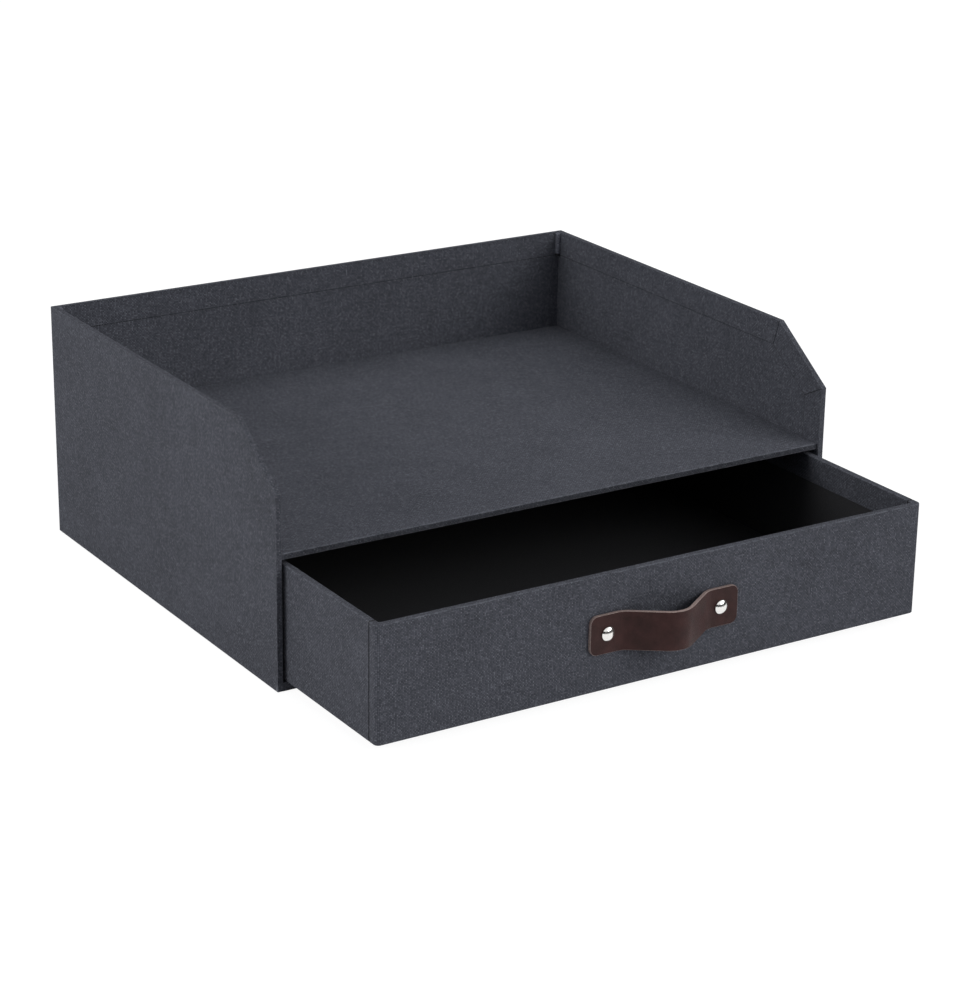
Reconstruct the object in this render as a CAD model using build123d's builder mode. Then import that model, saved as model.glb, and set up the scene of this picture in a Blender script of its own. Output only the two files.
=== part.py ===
from build123d import *
import os
from math import asin, atan2, cos, hypot, sin

os.makedirs("parts", exist_ok=True)

# A letter tray over a drawer. Grey board panels are covered with woven cloth
# that is folded over every free edge, and lined inside. The drawer is drawn
# part of the way out. Millimetres, +Z up, the front faces -Y, and the origin
# is the middle of the housing's underside.

# Driving dimensions: housing
width = 325.0  # over the two side walls
depth = 252.0  # front edge of a side wall to the back
height = 127.0  # underside to rim
corner_run = 38.0  # sloped front corner of a side wall, back along the rim
corner_drop = 27.0  # and down the front edge
shelf_level = 69.5  # top of the shelf
shelf_recess = 1.5  # shelf's front edge behind the side walls' front edges

# Driving dimensions: sheet stock
wall_board = 2.3
base_board_gauge = 3.9
shelf_board_gauge = 2.8
cloth = 0.25
paper = 0.2
turn_in = 14.0  # cloth folded over a rim and down the inside
turn_under = 15.0  # cloth folded beneath the housing and the drawer
front_fold = 18.0  # cloth folded back from a shelf's or base's front edge
wall_corner_round = 0.9  # grey board pressed round at the back corners

# Driving dimensions: drawer
drawer_open = 85.0  # how far the drawer stands out
drawer_board = 2.8
drawer_floor_gauge = 2.2
drawer_corner_round = 2.4  # grey board pressed round at the upright corners
seam_setback = 6.0  # seam on a drawer side, behind the drawer's front
side_clearance = 1.7
running_clearance = 0.4  # beneath the drawer
top_clearance = 2.2  # between the drawer's rim and the shelf
rear_clearance = 1.5  # behind the closed drawer

# Driving dimensions: handle
strap_length = 86.0
strap_width = 20.0
strap_gauge = 2.0
strap_corner_round = 4.0
bow_span = 56.0  # the stretch that stands clear of the drawer's front
bow_depth = 15.0  # finger room behind it
bow_bend = 11.0  # radius of the strap's inner face at the crown
rivet_spacing = 66.0
rivet_head = 7.2
rivet_dome = 2.0
rivet_post = 3.0
rivet_back = 8.0
rivet_back_gauge = 1.6
rivet_play = 0.1  # round a rivet's post

# Housing, worked out
front_y = -depth / 2
back_y = depth / 2
wall = cloth + wall_board + paper + cloth
inner_width = width - 2 * wall
board_face_x = width / 2 - cloth - wall_board  # inner face of a side board
lined_face_x = board_face_x - paper
board_face_y = back_y - cloth - wall_board  # inner face of the back board
lined_face_y = board_face_y - paper
bay_floor = cloth + base_board_gauge + cloth
shelf_thickness = cloth + shelf_board_gauge + cloth
shelf_underside = shelf_level - shelf_thickness
shelf_front = front_y + shelf_recess

# Drawer, worked out
drawer_wall = cloth + drawer_board + paper + cloth
drawer_width = inner_width - 2 * side_clearance
drawer_depth = depth - wall - rear_clearance
drawer_bottom = bay_floor + running_clearance
drawer_rim = shelf_underside - top_clearance
drawer_height = drawer_rim - drawer_bottom
drawer_front = front_y - drawer_open
drawer_back = drawer_front + drawer_depth
drawer_middle = (drawer_front + drawer_back) / 2
drawer_board_x = drawer_width / 2 - cloth - drawer_board  # inner face of a side board
drawer_board_front = drawer_front + cloth + drawer_board
drawer_board_back = drawer_back - cloth - drawer_board
drawer_floor = drawer_bottom + cloth + drawer_floor_gauge
handle_z = (drawer_bottom + drawer_rim) / 2

# Handle, worked out: two straight flanks, tangent to bends of one radius at
# the crown and at both feet
bend_overlap = 2 * bow_bend - bow_depth
flank_slope = asin(2 * bow_bend / hypot(bow_span / 2, bend_overlap)) - atan2(
    bend_overlap, bow_span / 2
)
bend_run = bow_bend * sin(flank_slope)
bend_rise = bow_bend * (1 - cos(flank_slope))


def side_outline(bottom=0.0, back=back_y):
    """Corners of a side wall seen from the side, as (Y, Z)."""
    return [
        (front_y, bottom),
        (back, bottom),
        (back, height),
        (front_y + corner_run, height),
        (front_y, height - corner_drop),
    ]


def block(x_size, y_range, z_range):
    """A plain panel, centred across the width, between two depths and two heights."""
    with BuildPart() as piece:
        with BuildSketch(Plane.XY.offset(z_range[0])):
            with Locations((0, (y_range[0] + y_range[1]) / 2)):
                Rectangle(x_size, y_range[1] - y_range[0])
        extrude(amount=z_range[1] - z_range[0])
    return piece.part


def folded_sheet(x_size, y_range, z_range, fold):
    """A sheet on top of a board, folded down its front edge and back beneath it."""
    with BuildPart() as piece:
        with BuildSketch(Plane.YZ.offset(-x_size / 2)):
            with Locations((y_range[0], z_range[0])):
                Rectangle(y_range[1] - y_range[0], z_range[1] - z_range[0], align=Align.MIN)
            with Locations((y_range[0] + cloth, z_range[0] + cloth)):
                Rectangle(
                    y_range[1] - y_range[0],
                    z_range[1] - z_range[0] - 2 * cloth,
                    align=Align.MIN,
                    mode=Mode.SUBTRACT,
                )
            with Locations((y_range[0] + fold, z_range[0])):
                Rectangle(
                    y_range[1] - y_range[0], cloth, align=Align.MIN, mode=Mode.SUBTRACT
                )
        extrude(amount=x_size)
    return piece.part


def mirrored(part):
    """The same piece for the other side of the object."""
    with BuildPart() as piece:
        mirror(part, about=Plane.YZ)
    return piece.part


def write(part, name):
    """Name a finished piece and save it."""
    part.label = name
    export_step(part, f"parts/{name}.step")


# Housing boards. The side boards run the full depth and the back board stands
# between them.
with BuildPart() as left_side_board:
    with BuildSketch(Plane.YZ.offset(cloth - width / 2)):
        Polygon(*side_outline(), align=None)
        offset(amount=-cloth, kind=Kind.INTERSECTION)
    extrude(amount=wall_board)
    back_edges = left_side_board.edges().filter_by(Axis.Z).group_by(Axis.Y)[-1]
    fillet(back_edges.sort_by(Axis.X)[0], wall_corner_round)

right_side_board = mirrored(left_side_board.part)
back_board = block(2 * board_face_x, (board_face_y, back_y - cloth), (cloth, height - cloth))
base_board = block(
    inner_width, (front_y + cloth, lined_face_y), (cloth, cloth + base_board_gauge)
)
shelf_board = block(
    inner_width,
    (shelf_front + cloth, lined_face_y),
    (shelf_underside + cloth, shelf_level - cloth),
)

# Lining of the housing. A side lining covers the whole board up to its cut
# edges, and the cloth that is folded over the rim lies on top of it.
with BuildPart() as left_wall_lining:
    with BuildSketch(Plane.YZ.offset(-board_face_x)):
        Polygon(*side_outline(back=board_face_y + cloth), align=None)
        offset(amount=-cloth, kind=Kind.INTERSECTION)
    extrude(amount=paper)

right_wall_lining = mirrored(left_wall_lining.part)
back_wall_lining = block(2 * lined_face_x, (lined_face_y, board_face_y), (cloth, height - cloth))
bay_floor_lining = block(
    inner_width,
    (front_y + front_fold, lined_face_y),
    (cloth + base_board_gauge, cloth + base_board_gauge + paper),
)
shelf_underside_lining = block(
    inner_width,
    (shelf_front + front_fold, lined_face_y),
    (shelf_underside + cloth - paper, shelf_underside + cloth),
)

# Shelf cover: over the top of the board, down its front edge and back beneath.
shelf_cover = folded_sheet(
    inner_width, (shelf_front, lined_face_y), (shelf_underside, shelf_level), front_fold
)

# Base cover: beneath the base, up its front edge and back on top. Beneath, it
# fills the space that the folded-under wrap leaves.
with BuildPart() as base_cover:
    with BuildSketch(Plane.YZ.offset(-inner_width / 2)):
        with Locations((front_y, 0)):
            Rectangle(front_fold, bay_floor, align=Align.MIN)
        with Locations((front_y + cloth, 0)):
            Rectangle(depth, bay_floor - cloth, align=Align.MIN, mode=Mode.SUBTRACT)
    extrude(amount=inner_width)
    with BuildSketch(Plane.XY):
        with Locations((0, front_y)):
            Rectangle(
                width - 2 * turn_under, depth - turn_under, align=(Align.CENTER, Align.MIN)
            )
    extrude(amount=cloth)

# Housing wrap: one sheet of cloth round the outside, over the rim, the sloped
# corners and the front edges, and beneath the base. Walls are drawn at full
# thickness, and then everything that the cloth covers is taken out.
with BuildPart() as housing_wrap:
    with BuildSketch(Plane.YZ.offset(-width / 2)):
        Polygon(*side_outline(), align=None)
    extrude(amount=wall)
    mirror(about=Plane.YZ)
    with BuildSketch(Plane.XY):
        with Locations((0, back_y)):
            Rectangle(width, wall, align=(Align.CENTER, Align.MAX))
    extrude(amount=height)
    upright_edges = housing_wrap.edges().filter_by(Axis.Z).group_by(Axis.Y)[-1]
    fillet(upright_edges, wall_corner_round + cloth)
    with BuildSketch(Plane.XY):
        Rectangle(width - 2 * wall, depth - 2 * wall)
        with Locations((0, front_y)):
            Rectangle(
                width - 2 * turn_under,
                depth - turn_under,
                align=(Align.CENTER, Align.MIN),
                mode=Mode.SUBTRACT,
            )
    extrude(amount=cloth)
    # inside, the folded cloth ends at the turn-in line
    for side in (-1, 1):
        with BuildSketch(Plane.YZ.offset(side * (lined_face_x - cloth / 2))):
            Polygon(
                *side_outline(bottom=cloth - turn_in, back=lined_face_y + turn_in), align=None
            )
            offset(amount=-turn_in, kind=Kind.INTERSECTION)
        extrude(amount=cloth / 2, both=True, mode=Mode.SUBTRACT)
    with BuildSketch(Plane.XY.offset(cloth)):
        with Locations((0, lined_face_y)):
            Rectangle(2 * lined_face_x, cloth, align=(Align.CENTER, Align.MAX))
    extrude(amount=height - turn_in - cloth, mode=Mode.SUBTRACT)
    for covered in (
        left_side_board.part,
        right_side_board,
        back_board,
        left_wall_lining.part,
        right_wall_lining,
        back_wall_lining,
        base_cover.part,
    ):
        add(covered, mode=Mode.SUBTRACT)

# Drawer boards. The front and back boards run the full width and the side
# boards stand between them.
drawer_board_heights = (drawer_bottom + cloth, drawer_rim - cloth)
rivet_holes = [(-rivet_spacing / 2, handle_z), (rivet_spacing / 2, handle_z)]


def drawer_end_board(y_range, outer):
    """Front or back board of the drawer, its outer upright edges pressed round."""
    with BuildPart() as piece:
        add(block(drawer_width - 2 * cloth, y_range, drawer_board_heights))
        uprights = piece.edges().filter_by(Axis.Z).group_by(Axis.Y)[outer]
        fillet(uprights, drawer_corner_round)
    return piece.part


with BuildPart() as drawer_front_board:
    add(drawer_end_board((drawer_front + cloth, drawer_board_front), 0))
    with BuildSketch(Plane.XZ.offset(-drawer_board_front)):
        with Locations(*rivet_holes):
            Circle(rivet_post / 2 + rivet_play)
    extrude(amount=drawer_board, mode=Mode.SUBTRACT)

drawer_back_board = drawer_end_board((drawer_board_back, drawer_back - cloth), -1)

with BuildPart() as drawer_left_board:
    with BuildSketch(Plane.XY.offset(drawer_board_heights[0])):
        with Locations((cloth - drawer_width / 2, drawer_middle)):
            Rectangle(
                drawer_board,
                drawer_board_back - drawer_board_front,
                align=(Align.MIN, Align.CENTER),
            )
    extrude(amount=drawer_height - 2 * cloth)

drawer_right_board = mirrored(drawer_left_board.part)
drawer_floor_board = block(
    2 * drawer_board_x,
    (drawer_board_front, drawer_board_back),
    (drawer_bottom + cloth, drawer_floor),
)

# Lining of the drawer: one strip round the walls and a sheet on the floor.
with BuildPart() as drawer_wall_lining:
    with BuildSketch(Plane.XY.offset(drawer_floor)):
        with Locations((0, drawer_middle)):
            Rectangle(2 * drawer_board_x, drawer_board_back - drawer_board_front)
            Rectangle(
                2 * (drawer_board_x - paper),
                drawer_board_back - drawer_board_front - 2 * paper,
                mode=Mode.SUBTRACT,
            )
    extrude(amount=drawer_rim - cloth - drawer_floor)
    with BuildSketch(Plane.XZ.offset(-(drawer_board_front + paper))):
        with Locations(*rivet_holes):
            Circle(rivet_post / 2 + rivet_play)
    extrude(amount=paper, mode=Mode.SUBTRACT)

drawer_floor_lining = block(
    2 * (drawer_board_x - paper),
    (drawer_board_front + paper, drawer_board_back - paper),
    (drawer_floor, drawer_floor + paper),
)
drawer_base_cover = block(
    drawer_width - 2 * turn_under,
    (drawer_front + turn_under, drawer_back - turn_under),
    (drawer_bottom, drawer_bottom + cloth),
)

# Cloth of the drawer: over the rim and beneath the floor like the housing's,
# in two pieces that meet at an upright seam on each side.
with BuildPart() as drawer_cloth:
    with BuildSketch(Plane.XY.offset(drawer_bottom)):
        with Locations((0, drawer_middle)):
            RectangleRounded(drawer_width, drawer_depth, drawer_corner_round + cloth)
    extrude(amount=drawer_height)
    with BuildSketch(Plane.XY.offset(drawer_floor)):
        with Locations((0, drawer_middle)):
            Rectangle(drawer_width - 2 * drawer_wall, drawer_depth - 2 * drawer_wall)
    extrude(amount=drawer_height, mode=Mode.SUBTRACT)
    # inside, the folded cloth ends at the turn-in line
    with BuildSketch(Plane.XY.offset(drawer_floor)):
        with Locations((0, drawer_middle)):
            Rectangle(
                drawer_width - 2 * (drawer_wall - cloth),
                drawer_depth - 2 * (drawer_wall - cloth),
            )
    extrude(amount=drawer_rim - turn_in - drawer_floor, mode=Mode.SUBTRACT)
    for covered in (
        drawer_front_board.part,
        drawer_back_board,
        drawer_left_board.part,
        drawer_right_board,
        drawer_floor_board,
        drawer_wall_lining.part,
        drawer_base_cover,
    ):
        add(covered, mode=Mode.SUBTRACT)
    with BuildSketch(Plane.XZ.offset(-(drawer_front + drawer_wall))):
        with Locations(*rivet_holes):
            Circle(rivet_post / 2 + rivet_play)
    extrude(amount=drawer_wall, mode=Mode.SUBTRACT)

# the front sheet's tongue beneath the drawer, between the side sheets' folds
front_tongue = block(
    drawer_width - 2 * turn_under,
    (drawer_front, drawer_front + turn_under),
    (drawer_bottom, drawer_bottom + cloth),
)
seam_plane = Plane.XZ.offset(-(drawer_front + seam_setback))

with BuildPart() as drawer_front_cloth:
    add(drawer_cloth.part)
    split(bisect_by=seam_plane, keep=Keep.TOP)
    add(front_tongue)

with BuildPart() as drawer_wrap:
    add(drawer_cloth.part)
    split(bisect_by=seam_plane, keep=Keep.BOTTOM)
    add(front_tongue, mode=Mode.SUBTRACT)

# Handle: a leather strap, riveted flat at both ends, that bows out between
# them. Its plan is one line, thickened on the outer side.
with BuildPart() as handle_strap:
    with BuildSketch(Plane.XY.offset(handle_z - strap_width / 2)):
        with BuildLine():
            left_end = Line((-strap_length / 2, drawer_front), (-bow_span / 2, drawer_front))
            left_foot = TangentArc(
                left_end @ 1,
                (bend_run - bow_span / 2, drawer_front - bend_rise),
                tangent=left_end % 1,
            )
            left_flank = Line(left_foot @ 1, (-bend_run, drawer_front - bow_depth + bend_rise))
            crown = TangentArc(
                left_flank @ 1,
                (bend_run, drawer_front - bow_depth + bend_rise),
                tangent=left_flank % 1,
            )
            right_flank = Line(crown @ 1, (bow_span / 2 - bend_run, drawer_front - bend_rise))
            right_foot = TangentArc(
                right_flank @ 1, (bow_span / 2, drawer_front), tangent=right_flank % 1
            )
            Line(right_foot @ 1, (strap_length / 2, drawer_front))
            offset(amount=strap_gauge, side=Side.RIGHT)
        make_face()
    extrude(amount=strap_width)
    strap_ends = handle_strap.edges().filter_by(Axis.Y).group_by(Axis.X)
    fillet(strap_ends[0] + strap_ends[-1], strap_corner_round)
    with BuildSketch(Plane.XZ.offset(-drawer_front)):
        with Locations(*rivet_holes):
            Circle(rivet_post / 2 + rivet_play)
    extrude(amount=strap_gauge, mode=Mode.SUBTRACT)

# Rivets: a domed cap whose post goes through strap, cloth, board and lining
# into a flat back.
strap_face = drawer_front - strap_gauge
lining_face = drawer_board_front + paper
back_seat = lining_face + rivet_back_gauge / 2  # end of the post, inside the back
dome_radius = ((rivet_head / 2) ** 2 + rivet_dome**2) / (2 * rivet_dome)

# one cap, turned about Z with its head's flat side at the origin
with BuildPart() as rivet_cap:
    with BuildSketch(Plane.XZ):
        with BuildLine():
            Polyline(
                (0, rivet_dome),
                (0, strap_face - back_seat),
                (rivet_post / 2, strap_face - back_seat),
                (rivet_post / 2, 0),
                (rivet_head / 2, 0),
            )
            RadiusArc((rivet_head / 2, 0), (0, rivet_dome), -dome_radius)
        make_face()
    revolve(axis=Axis.Z)

with BuildPart() as handle_rivet_caps:
    with Locations(*[Location((x, strap_face, z), (90, 0, 0)) for x, z in rivet_holes]):
        add(rivet_cap.part)

with BuildPart() as handle_rivet_backs:
    with BuildSketch(Plane.XZ.offset(-(lining_face + rivet_back_gauge))):
        with Locations(*rivet_holes):
            Circle(rivet_back / 2)
    extrude(amount=rivet_back_gauge)
    inner_rims = handle_rivet_backs.edges().filter_by(GeomType.CIRCLE).group_by(Axis.Y)[-1]
    fillet(inner_rims, rivet_back_gauge / 3)
    with BuildSketch(Plane.XZ.offset(-back_seat)):
        with Locations(*rivet_holes):
            Circle(rivet_post / 2 + rivet_play)
    extrude(amount=rivet_back_gauge, mode=Mode.SUBTRACT)

for piece, name in (
    (left_side_board.part, "left_side_board"),
    (right_side_board, "right_side_board"),
    (back_board, "back_board"),
    (base_board, "base_board"),
    (shelf_board, "shelf_board"),
    (left_wall_lining.part, "left_wall_lining"),
    (right_wall_lining, "right_wall_lining"),
    (back_wall_lining, "back_wall_lining"),
    (bay_floor_lining, "bay_floor_lining"),
    (shelf_underside_lining, "shelf_underside_lining"),
    (shelf_cover, "shelf_cover"),
    (base_cover.part, "base_cover"),
    (housing_wrap.part, "housing_wrap"),
    (drawer_front_board.part, "drawer_front_board"),
    (drawer_back_board, "drawer_back_board"),
    (drawer_left_board.part, "drawer_left_board"),
    (drawer_right_board, "drawer_right_board"),
    (drawer_floor_board, "drawer_floor_board"),
    (drawer_wall_lining.part, "drawer_wall_lining"),
    (drawer_floor_lining, "drawer_floor_lining"),
    (drawer_base_cover, "drawer_base_cover"),
    (drawer_front_cloth.part, "drawer_front_cloth"),
    (drawer_wrap.part, "drawer_wrap"),
    (handle_strap.part, "handle_strap"),
    (handle_rivet_caps.part, "handle_rivet_caps"),
    (handle_rivet_backs.part, "handle_rivet_backs"),
):
    write(piece, name)
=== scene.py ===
import bpy
import bmesh
import math
from mathutils import Matrix, Vector


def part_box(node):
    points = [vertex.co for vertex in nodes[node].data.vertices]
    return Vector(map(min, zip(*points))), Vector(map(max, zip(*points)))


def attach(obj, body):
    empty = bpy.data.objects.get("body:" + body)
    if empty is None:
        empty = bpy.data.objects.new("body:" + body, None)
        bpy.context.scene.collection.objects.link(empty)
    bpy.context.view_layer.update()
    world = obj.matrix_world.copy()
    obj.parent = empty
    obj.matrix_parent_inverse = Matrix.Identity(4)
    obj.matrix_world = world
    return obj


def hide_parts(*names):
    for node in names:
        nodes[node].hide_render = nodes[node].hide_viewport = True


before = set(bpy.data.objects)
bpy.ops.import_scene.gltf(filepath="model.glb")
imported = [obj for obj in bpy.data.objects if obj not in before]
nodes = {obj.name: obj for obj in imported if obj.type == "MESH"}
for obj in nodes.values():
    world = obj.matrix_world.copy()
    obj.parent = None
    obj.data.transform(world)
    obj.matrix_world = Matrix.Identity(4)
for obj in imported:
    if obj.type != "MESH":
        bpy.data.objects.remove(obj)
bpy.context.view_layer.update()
print("frame loaded:", len(nodes), "nodes")

# Everything is in metres, in the tray's own frame: the front faces -Y.
up = Vector((0, 0, 1))
across = Vector((1, 0, 0))
back = Vector((0, 1, 0))

same = 1e-5       # two places nearer than this count as one
weld = 1e-6       # heights nearer than this are level, and vertices nearer than this are merged
headOn = 0.9      # a face looks along an axis when its normal's share of it is over this
edgeAndShadeSlot = 1   # of a sheet's materials: 0 is its face, 1 its cut edges and painted shade, 2 a second face, a copy painted lighter or darker
secondSlot = 2


def startMesh():
    # A bmesh with a face attribute for edge wear.
    bm = bmesh.new()
    bm.faces.layers.float.new("edgeWear")
    return bm


def newObject(name, bm, materials):
    # bmesh to a linked object, with its material slots filled in order.
    mesh = bpy.data.meshes.new(name)
    bm.to_mesh(mesh)
    bm.free()
    piece = bpy.data.objects.new(name, mesh)
    bpy.context.scene.collection.objects.link(piece)
    for material in materials:
        mesh.materials.append(material)
    return piece


def bevel(bm, geom, radius, segments, affect="EDGES", slot=-1):
    return bmesh.ops.bevel(bm, geom=list(geom), offset=radius, offset_type="OFFSET", affect=affect,
                           segments=segments, profile=0.5, material=slot, clamp_overlap=True)


def roundEdges(bm, edges, radius, segments, worn=1.0):
    # Bevel a choice of edges; the rounding's faces are marked for edge wear.
    wear = bm.faces.layers.float["edgeWear"]
    for face in bevel(bm, edges, radius, segments)["faces"]:
        face[wear] = worn


def shift(bm, geom, step):
    # Move the vertices among what an operator made.
    bmesh.ops.translate(bm, vec=step, verts=[g for g in geom if isinstance(g, bmesh.types.BMVert)])


def startBox(low, high):
    # A bmesh that holds one box, from corner to corner.
    bm = startMesh()
    place = Matrix.Translation((low + high) / 2) @ Matrix.Diagonal(high - low).to_4x4()
    bmesh.ops.create_cube(bm, size=1.0, matrix=place)
    return bm


def isLevel(edge):
    return abs(edge.verts[0].co.z - edge.verts[1].co.z) < weld


def cutWhole(bm, place, normal, clearOuter=False):
    # Cut everything along a plane, and hand back the edges of the cut.
    made = bmesh.ops.bisect_plane(bm, geom=bm.verts[:] + bm.edges[:] + bm.faces[:], dist=1e-7,
                                  plane_co=place, plane_no=normal, clear_outer=clearOuter)
    return [g for g in made["geom_cut"] if isinstance(g, bmesh.types.BMEdge)]


def sharpEdges(bm, angle=math.radians(30)):
    # Edges where two faces meet at more than the angle.
    return [e for e in bm.edges if len(e.link_faces) == 2 and e.calc_face_angle(0) > angle]


def cutAcross(bm, faces, place, normal):
    # Cut only these faces along a plane, and hand back what they became.
    geom = set(faces)
    for face in faces:
        geom.update(face.edges)
        geom.update(face.verts)
    made = bmesh.ops.bisect_plane(bm, geom=list(geom), dist=1e-7, plane_co=place, plane_no=normal)
    return [g for g in made["geom"] if isinstance(g, bmesh.types.BMFace)]


def dropFaces(bm, faces):
    bmesh.ops.delete(bm, geom=list(faces), context="FACES")
    loose = [v for v in bm.verts if not v.link_faces]
    bmesh.ops.delete(bm, geom=loose, context="VERTS")


def finishSheet(piece, gauge):
    # A drawn surface becomes a sheet of real thickness, its cut edges in their own slot.
    solid = piece.modifiers.new("gauge", "SOLIDIFY")
    solid.thickness = gauge
    solid.offset = -1
    solid.use_even_offset = True
    solid.use_quality_normals = True
    solid.material_offset_rim = edgeAndShadeSlot
    return piece


def smoothBy(piece, angle=math.radians(35), flatFaces=True):
    # Smooth, but sharp where faces meet at more than the angle, and with flat faces shaded flat.
    mesh = piece.data
    for polygon in mesh.polygons:
        polygon.use_smooth = True
    mesh.set_sharp_from_angle(angle=angle)
    if not flatFaces:
        return piece
    shading = piece.modifiers.new("flatFaces", "WEIGHTED_NORMAL")
    shading.mode = "FACE_AREA"
    shading.weight = 100
    shading.keep_sharp = True
    return piece


def startMaterial(name):
    material = bpy.data.materials.new(name)
    material.use_nodes = True
    tree = material.node_tree
    tree.nodes.clear()
    output = tree.nodes.new("ShaderNodeOutputMaterial")
    shader = tree.nodes.new("ShaderNodeBsdfPrincipled")
    tree.links.new(shader.outputs[0], output.inputs[0])
    return material, tree, shader


def startGroup(name, inputs, outputs):
    # A shader node group; inputs are (name, socket type, default), outputs are (name, socket type).
    group = bpy.data.node_groups.new(name, "ShaderNodeTree")
    for label, kind, value in inputs:
        socket = group.interface.new_socket(name=label, in_out="INPUT", socket_type=kind)
        if value is not None:
            socket.default_value = value
    for label, kind in outputs:
        group.interface.new_socket(name=label, in_out="OUTPUT", socket_type=kind)
    return group, group.nodes.new("NodeGroupInput"), group.nodes.new("NodeGroupOutput")


def plug(tree, socket, value):
    # Feed a socket from another socket or with a plain value.
    if isinstance(value, bpy.types.NodeSocket):
        tree.links.new(value, socket)
    elif value is not None:
        socket.default_value = value


def connect(tree, *links):
    # Join pairs of (output, input).
    for output, socket in links:
        tree.links.new(output, socket)


def maths(tree, operation, a, b=None):
    node = tree.nodes.new("ShaderNodeMath")
    node.operation = operation
    for socket, value in zip(node.inputs, (a, b)):
        plug(tree, socket, value)
    return node.outputs[0]


def vector(tree, operation, a, b=None):
    node = tree.nodes.new("ShaderNodeVectorMath")
    node.operation = operation
    plug(tree, node.inputs[0], a)
    plug(tree, node.inputs[1], b)
    return node.outputs["Value" if operation == "LENGTH" else "Vector"]


def choose(tree, switch, a, b):
    # a where the switch is 1 and b where it is 0.
    return maths(tree, "ADD", maths(tree, "MULTIPLY", a, switch),
                 maths(tree, "MULTIPLY", b, maths(tree, "SUBTRACT", 1.0, switch)))


def offCentre(tree, value, share):
    # How far a value is from a half, times a share.
    return maths(tree, "MULTIPLY", maths(tree, "SUBTRACT", value, 0.5), share)


def apart(tree, value):
    node = tree.nodes.new("ShaderNodeSeparateXYZ")
    plug(tree, node.inputs[0], value)
    return node.outputs


def together(tree, x, y, z=0.0):
    node = tree.nodes.new("ShaderNodeCombineXYZ")
    for socket, value in zip(node.inputs, (x, y, z)):
        plug(tree, socket, value)
    return node.outputs[0]


def noise(tree, place, scale, detail=2.0, rough=0.5):
    node = tree.nodes.new("ShaderNodeTexNoise")
    plug(tree, node.inputs["Vector"], place)
    node.inputs["Scale"].default_value = scale
    node.inputs["Detail"].default_value = detail
    node.inputs["Roughness"].default_value = rough
    return node.outputs["Fac"]


def stretch(tree, value, low, high, newLow=0.0, newHigh=1.0):
    node = tree.nodes.new("ShaderNodeMapRange")
    plug(tree, node.inputs["Value"], value)
    for label, number in (("From Min", low), ("From Max", high), ("To Min", newLow), ("To Max", newHigh)):
        plug(tree, node.inputs[label], number)
    return node.outputs[0]


def blendColours(tree, factor, a, b, mode="MIX"):
    node = tree.nodes.new("ShaderNodeMix")
    node.data_type = "RGBA"
    node.blend_type = mode
    plug(tree, node.inputs["Factor"], factor)
    plug(tree, node.inputs["A"], a)
    plug(tree, node.inputs["B"], b)
    return node.outputs["Result"]


def twoTone(tree, pattern, low, high, first, second):
    # The first colour where a pattern is under low, and the second where it is over high.
    return blendColours(tree, stretch(tree, pattern, low, high), (*first, 1), (*second, 1))


def bumpNormal(tree, height, distance):
    node = tree.nodes.new("ShaderNodeBump")
    plug(tree, node.inputs["Height"], height)
    node.inputs["Distance"].default_value = distance
    node.inputs["Strength"].default_value = 1.0
    return node.outputs[0]


def placeGroup(tree, group, **values):
    node = tree.nodes.new("ShaderNodeGroup")
    node.node_tree = group
    for label, value in values.items():
        plug(tree, node.inputs[label], value)
    return node.outputs


def makeSheetPlane():
    # Lays flat coordinates on whichever way a panel faces, so threads run along its edges.
    group, source, result = startGroup(
        "sheetPlane",
        [("Place", "NodeSocketVector", None), ("Facing", "NodeSocketVector", None)],
        [("Flat", "NodeSocketVector")])
    x, y, z = apart(group, source.outputs["Place"])
    sides = apart(group, vector(group, "ABSOLUTE", source.outputs["Facing"]))
    facesX = maths(group, "GREATER_THAN", sides[0], maths(group, "MAXIMUM", sides[1], sides[2]))
    facesZ = maths(group, "GREATER_THAN", sides[2], maths(group, "MAXIMUM", sides[0], sides[1]))
    flat = together(group, choose(group, facesX, y, x), choose(group, facesZ, y, z))
    connect(group, (flat, result.inputs["Flat"]))
    return group


plainWeave = {
    "wanderScale": 90.0,
    "wander": 0.0009,        # how far threads stray sideways
    "dive": 0.45,            # how steeply a thread dives at its crossings
    "stretchAlong": 0.07,    # tone changes this much slower along a thread than across
    "toneScale": 1.7,
    "weftOffset": 7.3,       # keeps the weft's tones apart from the warp's
    "threadShare": 0.45,
    "crossingShare": 0.26,   # and no two crossings are quite alike
    "leanShare": 0.12,       # warp catches the light a little more than weft
    "fleckFrom": 0.90,       # one crossing in ten is a pale fleck
}


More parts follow.
